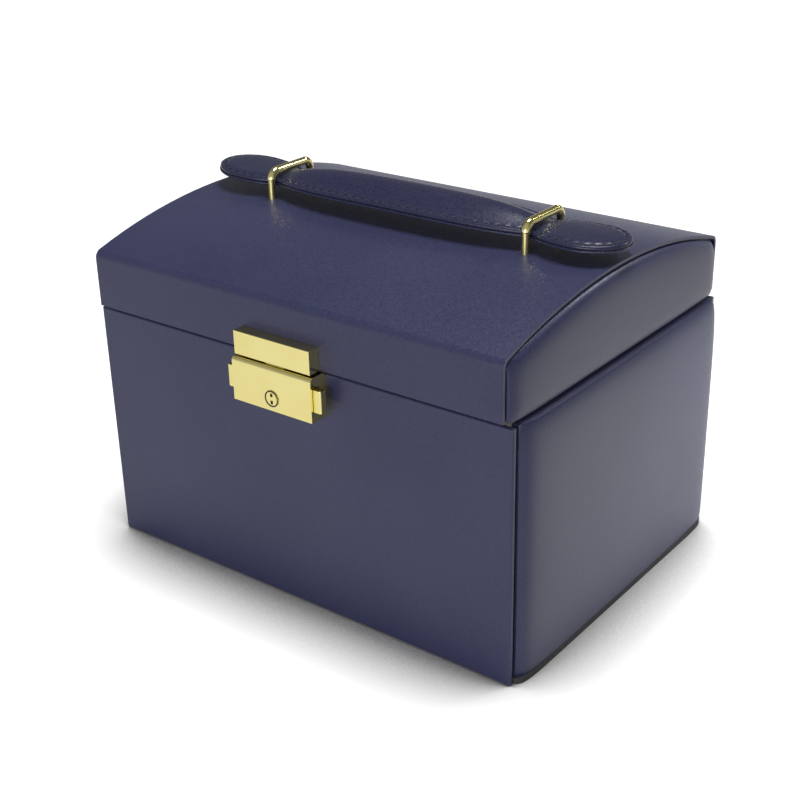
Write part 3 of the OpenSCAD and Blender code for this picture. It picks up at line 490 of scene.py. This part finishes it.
def drawn_in_foot(name, label):
    low, high = (Vector(corner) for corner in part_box(name))
    shape = whole_faces(name)
    for step in range(1, FOOT_CUTS + 1):
        for y in (low.y + step * FOOT_PITCH * MM, high.y - step * FOOT_PITCH * MM):
            bmesh.ops.bisect_plane(
                shape, geom=list(shape.verts) + list(shape.edges) + list(shape.faces),
                dist=TOUCHING, plane_co=(0.0, y, 0.0), plane_no=(0.0, 1.0, 0.0))
    for vert in shape.verts:
        near_side = 1.0 - (high.x - abs(vert.co.x)) / (FOOT_REACH * MM)
        sink = FOOT_SINK + roll_off((vert.co.y - low.y) / MM, *SIDE_EDGE)
        sink += roll_off((high.y - vert.co.y) / MM, *SIDE_EDGE)
        if near_side > 0:
            vert.co.x -= math.copysign(near_side * min(sink, DEEPEST) * MM, vert.co.x)
    close_shell(shape)
    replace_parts(piece(label, shape, slots[name], "case"), name)


drawn_in_foot("base_cover", "foot_cover")
drawn_in_foot("base_board", "foot_board")

# %% [markdown]
# The ring round the key plug. The plug turns in a bore, and the narrow gap between them lies in
# shade. The ring is painted shade for that gap: a thin dark tube laid on the face of the lock.
# A dark band in the plating's own finish would do for one view, but it would not turn with the
# plug. The ring is only half a millimetre wide, so a full spin of a small circle makes it.

# %% Painted shade ring of the lock, in millimetres
SEAM_R = 3.3
SEAM_TUBE_R = 0.32
SEAM_SIDES = 8
SEAM_STEPS = 40
SEAM_TURN = 0.4

# Painted shade: a dark metal finish that stands in for the shaded gap round the plug.
dark = Finish("painted_shade_seam", Metallic=1.0)
dark.dye(dark.noise(scale=900.0), (0.05, 0.045, 0.03), (0.12, 0.11, 0.08))
dark.polish(dark.noise(scale=500.0), 0.35, 0.5)
keep(dark)

plug_low, plug_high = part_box("key_plug")
plug_z = (plug_low.z + plug_high.z) / 2
ring_start = Matrix.Translation((SEAM_R * MM, plug_low.y, plug_z))
seam = bmesh.new()
bmesh.ops.create_circle(
    seam, segments=SEAM_SIDES, radius=SEAM_TUBE_R * MM,
    matrix=ring_start @ Matrix.Rotation(SEAM_TURN, 4, "Z"))
bmesh.ops.spin(
    seam, geom=list(seam.verts) + list(seam.edges), cent=(0.0, plug_low.y, plug_z),
    axis=(0.0, 1.0, 0.0), angle=math.tau, steps=SEAM_STEPS, use_merge=True)
close_shell(seam)
# The ring is painted shade on the lock face, and it turns with the plug.
piece("plug_gap_shade", seam, "gold_plate", "key_plug", finish="painted_shade_seam", sharp=180.0)

# %% [markdown]
# The strap. It is a padded leather strap: wide between the loops, pinched in each
# loop, and ended by two round tabs. Its outline is a formula, so it is closed and
# smooth. Rings of points step inwards from that outline by a measured distance and
# up by a height, as a saddler's section would be drawn, and the last ring closes on
# the middle line. Cloth simulation would melt the crisp rim and the row of stitches,
# so the padding is given by the rings.

# %% Outline of the strap, in millimetres
STRAP_L = 215.5
STRAP_W = 35.5
NECK_HALF = 10.5
TAB_HALF = 15.8
TAB_TIP = 18.2
LOOP_X = 68.1
SIDE_POWER = 3.5
POINTS_PER_DEGREE = 8
RIM_POINTS = 720
strap_low, strap_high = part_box("strap_upper")
strap_middle = (strap_low.x + strap_high.x) / 2 / MM
tab_x = STRAP_L / 2 - TAB_TIP
tab_root = (tab_x - LOOP_X) / math.sqrt(1 - (NECK_HALF / TAB_HALF) ** 2)


def strap_half(x):
    if x < LOOP_X:
        return NECK_HALF + (STRAP_W / 2 - NECK_HALF) * (1 - (x / LOOP_X) ** SIDE_POWER)
    length = tab_root if x < tab_x else TAB_TIP
    return TAB_HALF * math.sqrt(max(0.0, 1 - ((x - tab_x) / length) ** 2))


def rim_points():
    turns = [math.radians(a / POINTS_PER_DEGREE) for a in range(360 * POINTS_PER_DEGREE)]
    xs = [STRAP_L / 2 * math.cos(turn) for turn in turns]
    signs = [1 if math.sin(turn) >= 0 else -1 for turn in turns]
    return [Vector((x, sign * strap_half(abs(x)))) for x, sign in zip(xs, signs)]


def even_loop(points, count):
    """The closed line through points, cut into equal steps."""
    ends = points[1:] + points[:1]
    steps = [(b - a).length for a, b in zip(points, ends)]
    whole = sum(steps)
    result, index, done = [], 0, 0.0
    for i in range(count):
        goal = whole * i / count
        while done + steps[index] < goal:
            done += steps[index]
            index += 1
        part = (goal - done) / steps[index]
        result.append(points[index].lerp(ends[index], part))
    return result, whole


rim, rim_length = even_loop(rim_points(), RIM_POINTS)
print("the strap's rim is", round(rim_length), "mm round")

# %% Steps inwards from the rim, in millimetres
TURN_REACH = 6


def inward(index):
    along = rim[(index + TURN_REACH) % RIM_POINTS] - rim[index - TURN_REACH]
    return Vector((-along.y, along.x)).normalized()


def inset_point(index, distance):
    return rim[index] + inward(index) * distance


# %% Height of the padding along the strap, in millimetres
SWELL_HALF = 66.3
SWELL_POWER = 5
MIDDLE_CREST = 7.5
LOOP_CREST = 3.4
TAB_CREST = 3.0
CREST_FADE = 7.0
MIDDLE_RISE = 1.2
TAB_RISE = 2.4


def crest(x):
    x = abs(x)
    if x < SWELL_HALF:
        swell = 1 - (x / SWELL_HALF) ** SWELL_POWER
        return LOOP_CREST + (MIDDLE_CREST - LOOP_CREST) * swell
    fade = math.exp(-((x - SWELL_HALF) / CREST_FADE) ** 2)
    return TAB_CREST + (LOOP_CREST - TAB_CREST) * fade


def bow(x):
    """Rise of the strap: a slight arch between the loops, and the left tab turned up."""
    if abs(x) < LOOP_X:
        return MIDDLE_RISE * (1 - (x / LOOP_X) ** 2)
    return TAB_RISE * ((-x - LOOP_X) / (STRAP_L / 2 - LOOP_X)) ** 1.5 if x < 0 else 0.0


def strap_place(flat, height):
    rise = (height + bow(flat.x)) * MM
    return Vector(((flat.x + strap_middle) * MM, flat.y * MM, strap_low.z + rise))


print("the padding is", MIDDLE_CREST, "mm high in the middle")

# %% [markdown]
# The upper and the lining are built by the same steps: a circle of vertices moved
# onto the outline, then one extruded ring after another, each moved in and up. A loft
# between curves would do as well, but here each ring's inset and height can be read in
# a table. The upper's rings dip where the stitches pull it down. Both are closed
# underneath by one flat face.

# %% A shell through rows of places
def strap_rings(rows):
    """A closed shell through rows of places, capped flat at its first row."""
    shape = bmesh.new()
    circle = bmesh.ops.create_circle(
        shape, cap_ends=True, segments=len(rows[0]), radius=1.0)
    last = list(circle["verts"])
    for vert, place in zip(last, rows[0]):
        vert.co = place
    for row in rows[1:]:
        edges = [shape.edges.get((last[i - 1], last[i])) for i in range(len(last))]
        old = {vert: index for index, vert in enumerate(last)}
        fresh = [None] * len(last)
        for vert in new_verts(bmesh.ops.extrude_edge_only(shape, edges=edges)):
            partner = next(
                edge.other_vert(vert) for edge in vert.link_edges
                if edge.other_vert(vert) in old)
            fresh[old[partner]] = vert
        for vert, place in zip(fresh, row):
            vert.co = place
        last = fresh
    return shape, last


# %% Upper of the strap: rings of inset and height, in millimetres
RIM_RINGS = (
    (1.2, 0.0), (0.75, 0.05), (0.5, 0.3), (0.45, 0.9), (0.6, 1.5), (1.1, 1.85),
    (1.8, 1.98), (2.3, 1.9), (2.65, 1.72), (3.0, 1.9), (3.7, 2.25), (4.6, 2.6))
PAD_STEPS = (0.15, 0.32, 0.5, 0.68, 0.84, 1.0)
PAD_POWER = 1.1
CORE_HALF = STRAP_L / 2 - 14.0
STITCH_PITCH = 4.7
STITCH_INSET = 2.65
PUCKER = 0.28
PUCKER_WIDTH = 0.5
stitch_count = round((rim_length - math.tau * STITCH_INSET) / STITCH_PITCH)


def pucker(index, inset):
    """The leather rises between two stitches and sinks under each."""
    wave = math.cos(math.tau * (index * stitch_count / RIM_POINTS + 0.5))
    return PUCKER * wave * math.exp(-(((inset - STITCH_INSET) / PUCKER_WIDTH) ** 2))


def pad_place(index, step):
    """A place on the padding, step of the way from the last rim ring to the middle."""
    start_inset, start_height = RIM_RINGS[-1]
    start = inset_point(index, start_inset)
    core = Vector((max(-CORE_HALF, min(CORE_HALF, start.x)), 0.0))
    flat = start.lerp(core, step)
    rise = math.sin(step * math.pi / 2) ** PAD_POWER
    return strap_place(flat, start_height + (crest(flat.x) - start_height) * rise)


rows = [
    [strap_place(inset_point(i, inset), height + pucker(i, inset)) for i in range(RIM_POINTS)]
    for inset, height in RIM_RINGS]
rows += [[pad_place(i, step) for i in range(RIM_POINTS)] for step in PAD_STEPS]
upper_shape, _ = strap_rings(rows)
close_shell(upper_shape)
upper = piece("strap_padded_upper", upper_shape, "strap_leather", "handle", sharp=70.0)
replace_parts(upper, "strap_upper")

# %% Lining of the strap: rings of inset and height, in millimetres
LINING_RINGS = (
    (1.2, -1.15), (0.45, -1.1), (0.1, -0.85), (0.0, -0.55), (0.1, -0.2), (0.4, -0.04),
    (1.0, -0.02))
lining_shape, last_ring = strap_rings([
    [strap_place(inset_point(i, inset), height) for i in range(RIM_POINTS)]
    for inset, height in LINING_RINGS])
bmesh.ops.contextual_create(lining_shape, geom=last_ring)
close_shell(lining_shape)
lining = piece("strap_lining_leather", lining_shape, "strap_leather", "handle", sharp=70.0)
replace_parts(lining, "strap_lining")

# %% [markdown]
# The stitches. The strap is sewn all round, about five stitches to the inch, each
# pulled into the leather at its ends. They could be a dashed line in the finish, but
# then they would have no shadow. Every stitch is a short ellipsoid of few faces, laid
# along the rim in the groove of the upper.

# %% Stitches of the strap, in millimetres
STITCH_HALF = 1.7
THREAD_R = 0.46
STITCH_HEIGHT = 1.80
stitches = bmesh.new()
for i in range(stitch_count):
    at = round(RIM_POINTS * i / stitch_count) % RIM_POINTS
    here = inset_point(at, STITCH_INSET)
    ahead = inset_point((at + 2) % RIM_POINTS, STITCH_INSET)
    along = ahead - inset_point(at - 2, STITCH_INSET)
    turn = Matrix.Rotation(math.atan2(along.y, along.x), 4, "Z")
    place = Matrix.Translation(strap_place(here, STITCH_HEIGHT))
    scale = Matrix.Diagonal((STITCH_HALF * MM, THREAD_R * MM, THREAD_R * MM, 1.0))
    bmesh.ops.create_uvsphere(
        stitches, u_segments=8, v_segments=6, radius=1.0, matrix=place @ turn @ scale)
piece("strap_stitches", stitches, "strap_leather", "handle", finish="strap_thread", sharp=180.0)
print(stitch_count, "stitches")

# %% [markdown]
# The ring rolls. A ring is pushed into the slot between two velvet rolls of foam. A
# roll is stuffed, so it starts as a block that is a little too small, is remeshed into
# even cells, and swells under pressure in a cloth simulation. Six simulations would
# take six times as long, and the rolls are sewn alike, so one roll is simulated and
# the others are its copies.

# %% Stuffing by a cloth simulation
SWELL_FRAMES = 20


def block_shape(low, high, edge):
    shape = bmesh.new()
    middle, size = (low + high) / 2, high - low
    grow = Matrix.Translation(middle) @ Matrix.Diagonal((*size, 1.0))
    bmesh.ops.create_cube(shape, size=1.0, matrix=grow)
    bmesh.ops.bevel(
        shape, geom=shape.edges, offset=edge, offset_type="OFFSET", segments=4,
        profile=0.5, affect="EDGES", material=-1)
    return shape


def swell(made, voxel, pressure, cap):
    """Remeshes the piece, lets it swell in a cloth simulation, and applies the result."""
    remesh = made.modifiers.new("even cells", "REMESH")
    remesh.mode = "VOXEL"
    remesh.voxel_size = voxel
    apply(made, remesh)
    before = [vert.co.copy() for vert in made.data.vertices]
    cloth = made.modifiers.new("stuffing", "CLOTH")
    cloth.settings.use_pressure = True
    cloth.settings.uniform_pressure_force = pressure
    cloth.settings.effector_weights.gravity = 0.0
    cloth.point_cache.frame_end = SWELL_FRAMES
    for step in range(1, SWELL_FRAMES + 1):
        bpy.context.scene.frame_set(step)
    apply(made, cloth)
    bpy.context.scene.frame_set(1)
    for vert, start in zip(made.data.vertices, before):
        move = vert.co - start
        if move.length > cap:
            vert.co = start + move.normalized() * cap


def keep_between(mesh, low, high):
    for vert in mesh.vertices:
        for axis in range(3):
            vert.co[axis] = max(low[axis], min(high[axis], vert.co[axis]))


# %% One stuffed roll
ROLLS = 6
ROLL_SLOT = 2.4 * MM
END_ROOM = 1.0 * MM
SIDE_ROOM = 0.8 * MM
ROLL_EDGE = 6.0 * MM
rolls_low, rolls_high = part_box("ring_rolls")
pitch_m = (rolls_high.y - rolls_low.y + ROLL_SLOT) / ROLLS
roll_end = Vector((rolls_high.x, rolls_low.y + pitch_m - ROLL_SLOT, rolls_high.z))
block = block_shape(
    rolls_low + Vector((END_ROOM, SIDE_ROOM, 0.0)),
    roll_end - Vector((END_ROOM, SIDE_ROOM, SIDE_ROOM)), ROLL_EDGE)
first_roll = piece("ring_roll_1", block, "pad_velvet", "tray", sharp=180.0)
swell(first_roll, voxel=3.0 * MM, pressure=4.0, cap=2.0 * MM)
keep_between(first_roll.data, rolls_low, roll_end)
smooth = first_roll.modifiers.new("smooth", "SUBSURF")
smooth.levels = smooth.render_levels = 1
apply(first_roll, smooth)
for face in first_roll.data.polygons:
    face.use_smooth = True
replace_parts(first_roll, "ring_rolls")
print("one roll has", len(first_roll.data.polygons), "faces")

# %% The other rolls
for i in range(1, ROLLS):
    mesh = first_roll.data.copy()
    mesh.transform(Matrix.Translation((0.0, pitch_m * i, 0.0)))
    roll = bpy.data.objects.new("ring_roll_%d" % (i + 1), mesh)
    bpy.context.collection.objects.link(roll)
    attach(roll, "tray")
print("rolls", round(pitch_m / MM, 1), "mm apart")

# %% [markdown]
# The floor pads. The tray's cells and the floor of the case are lined with thin pads
# of velvet over felt, only two millimetres thick. A remesh coarse enough to simulate
# would swallow them, so each is a grid whose rim is tucked down and whose middle is
# lightly crowned.

# %% Thin pads
PAD_ACROSS = 28
PAD_DEEP = 22
TUCK_REACH = 2.5 * MM
RIM_SHARE = 0.35
TUCK_SHARE = 0.6


def thin_pad(name, low, high, body, crown):
    shape = bmesh.new()
    size = high - low
    bmesh.ops.create_grid(
        shape, x_segments=PAD_ACROSS, y_segments=PAD_DEEP, size=0.5,
        matrix=Matrix.Translation(((low.x + high.x) / 2, (low.y + high.y) / 2, low.z))
        @ Matrix.Diagonal((size.x, size.y, 1.0, 1.0)))
    for vert in shape.verts:
        u = min(vert.co.x - low.x, high.x - vert.co.x)
        v = min(vert.co.y - low.y, high.y - vert.co.y)
        tuck = 1 - math.exp(-min(u, v) / TUCK_REACH)
        lift = math.sin(math.pi * (vert.co.x - low.x) / size.x) * math.sin(
            math.pi * (vert.co.y - low.y) / size.y)
        vert.co.z = low.z + size.z * (RIM_SHARE + TUCK_SHARE * tuck) + crown * lift
    for vert in new_verts(bmesh.ops.extrude_edge_only(shape, edges=open_edges(shape))):
        vert.co.z = low.z
    bmesh.ops.holes_fill(shape, edges=open_edges(shape), sides=0)
    bmesh.ops.recalc_face_normals(shape, faces=shape.faces)
    made = piece(name, shape, "pad_velvet", body, sharp=50.0)
    return made


# %% Pads of the floor
DIVIDER_HALF = 1.25 * MM
PAD_GAP = 0.3 * MM
FLOOR_CROWN = 1.5 * MM
floor_low, floor_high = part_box("floor_pad")
columns = (("left", floor_low.x, -DIVIDER_HALF), ("right", DIVIDER_HALF, floor_high.x))
lines = (("front", floor_low.y, -DIVIDER_HALF), ("back", DIVIDER_HALF, floor_high.y))
floor_pads = []
for column, from_x, to_x in columns:
    for line, from_y, to_y in lines:
        low = Vector((from_x + PAD_GAP, from_y + PAD_GAP, floor_low.z))
        high = Vector((to_x - PAD_GAP, to_y - PAD_GAP, floor_high.z))
        name = "floor_pad_%s_%s" % (line, column)
        floor_pads.append(thin_pad(name, low, high, "case", FLOOR_CROWN))
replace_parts(floor_pads[0], "floor_pad")

# %% Pads of the tray
TRAY_CROWN = 1.0 * MM
pads_low, pads_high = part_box("tray_pads")
cross_low, cross_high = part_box("tray_divider_cross")
front_pad = thin_pad(
    "tray_pad_front", pads_low + Vector((PAD_GAP, PAD_GAP, 0.0)),
    Vector((pads_high.x - PAD_GAP, cross_low.y - PAD_GAP, pads_high.z)), "tray", TRAY_CROWN)
back_pad = thin_pad(
    "tray_pad_back", Vector((pads_low.x + PAD_GAP, cross_high.y + PAD_GAP, pads_low.z)),
    pads_high - Vector((PAD_GAP, PAD_GAP, 0.0)), "tray", TRAY_CROWN)
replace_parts(front_pad, "tray_pads")

# %% [markdown]
# The surround. The case stands in a white studio, and what its polished metal and its
# coated leather mirror matters as much as the lamps. The eye sees white everywhere.
# Reflections see walls that are white low down, a dim ceiling and a faint room in
# front, so the upright faces shine softly and the top stays dark. A studio panorama
# would do the same, but two ramps can be read and changed.

# %% What the eye and the reflections see
def rays(tree, kind):
    """1 for one kind of ray and 0 for the others."""
    return Signal(tree).node("ShaderNodeLightPath", {}, {}, kind)


def to_the_eye(tree):
    return rays(tree, "Is Camera Ray") + rays(tree, "Is Transmission Ray")


AMBIENT = 0.20
CEILING = 0.13
WALL_FOOT, WALL_TOP = -0.10, 0.16
FRONT_ROOM = 0.25
FRONT_DEEP, FRONT_END = -0.6, 0.0
world = bpy.data.worlds.new("studio")
world.use_nodes = True
bpy.context.scene.world = world
background = world.node_tree.nodes["Background"]
background.inputs["Color"].default_value = (1.0, 1.0, 1.0, 1.0)
way = Signal(world.node_tree).node("ShaderNodeTexCoord", {}, {}, "Generated")
wall = way.part("Z").span(WALL_FOOT, WALL_TOP, 1.0, CEILING)
room = way.part("Y").span(FRONT_DEEP, FRONT_END, FRONT_ROOM, 0.0)
strength = (
    AMBIENT + to_the_eye(world.node_tree) * (1 - AMBIENT)
    + rays(world.node_tree, "Is Glossy Ray") * (wall + room - AMBIENT))
way.put(background.inputs["Strength"], strength)
print("surround with", len(world.node_tree.nodes), "nodes")

# %% [markdown]
# The floor. It is a plain white table top. Lamps strong enough to burn it to white would burn
# the case as well, so it adds a glow of its own. Next to the case an ambient occlusion term
# dims that glow: a painted contact shadow. Reflections see a weaker glow, which is painted
# light: shaded in front, open on the right, and fading with the distance from the side of the
# case.

# %% Floor
GLOW_TO_EYE = 0.92
GLOW_TO_GLOSS = 0.55
CONTACT = 0.065
SHADED, OPEN = 0.50, 0.86
SIDE_FROM, SIDE_TO = 0.115, 0.13
FADE_FROM, FADE_TO = 0.16, 0.42
NEAR_GLOW, FAR_GLOW = 1.06, 0.66
bpy.ops.mesh.primitive_plane_add(size=8.0)
floor = bpy.context.object
floor.name = "floor"
top = Finish("floor", Roughness=0.9, Specular_IOR_Level=0.0)
top.surface.inputs["Base Color"].default_value = (0.44, 0.435, 0.43, 1.0)
top.surface.inputs["Emission Color"].default_value = (1.0, 1.0, 1.0, 1.0)
seen = to_the_eye(top.tree) * GLOW_TO_EYE
mirrored = rays(top.tree, "Is Glossy Ray") * GLOW_TO_GLOSS
# Painted contact shadow: ambient occlusion dims the glow near the case, for the eye and for
# reflections.
near = seen.node("ShaderNodeAmbientOcclusion", {"samples": 8}, {"Distance": CONTACT}, "AO")
open_floor = near.span(SHADED, OPEN)
# Painted reflection light: beside the case on the right, reflections see a glow that comes from
# no lamp and fades with distance.
right = top.place.part("X")
beside = right.span(SIDE_FROM, SIDE_TO)
fading = right.span(FADE_FROM, FADE_TO, NEAR_GLOW, FAR_GLOW)
lit_side = open_floor + beside * (fading - open_floor)
top.feed("Emission Strength", seen * open_floor + mirrored * lit_side)
floor.data.materials.append(top.material)
print("floor with", len(top.tree.nodes), "nodes")

# %% [markdown]
# The lamps. The key is a broad lamp overhead. A wide, low one far in front lights the
# front board and the lock, and a small one behind on the right draws the rims. The last
# is a patch close above the table on the right: it lights the table, whose light then
# reaches the side panel. A sun would be simpler, but its shadows would be hard.

# %% Lamps
def softbox(name, place, aim_at, width, height, watts, mirrored=True):
    lamp_data = bpy.data.lights.new(name, "AREA")
    lamp_data.shape = "RECTANGLE"
    lamp_data.size = width
    lamp_data.size_y = height
    lamp_data.energy = watts
    lamp = bpy.data.objects.new(name, lamp_data)
    bpy.context.collection.objects.link(lamp)
    turn = (Vector(aim_at) - Vector(place)).to_track_quat("-Z", "Y").to_matrix().to_4x4()
    lamp.matrix_world = Matrix.Translation(place) @ turn
    lamp.visible_camera = False
    lamp.visible_glossy = mirrored
    print("lamp", name, "gives", watts, "W")


softbox("key", (0.06, 0.10, 0.90), (0.06, 0.08, 0.10), 0.36, 0.36, 4.4)
softbox("fill", (0.25, -1.5, 0.30), (0.0, 0.0, 0.08), 1.2, 0.6, 10.0)
softbox("rim", (0.54, 0.84, 0.82), (0.1, 0.0, 0.14), 0.16, 0.16, 2.2)
softbox("sweep", (0.21, 0.19, 0.12), (0.21, 0.191, 0.0), 0.14, 0.32, 0.26, mirrored=False)
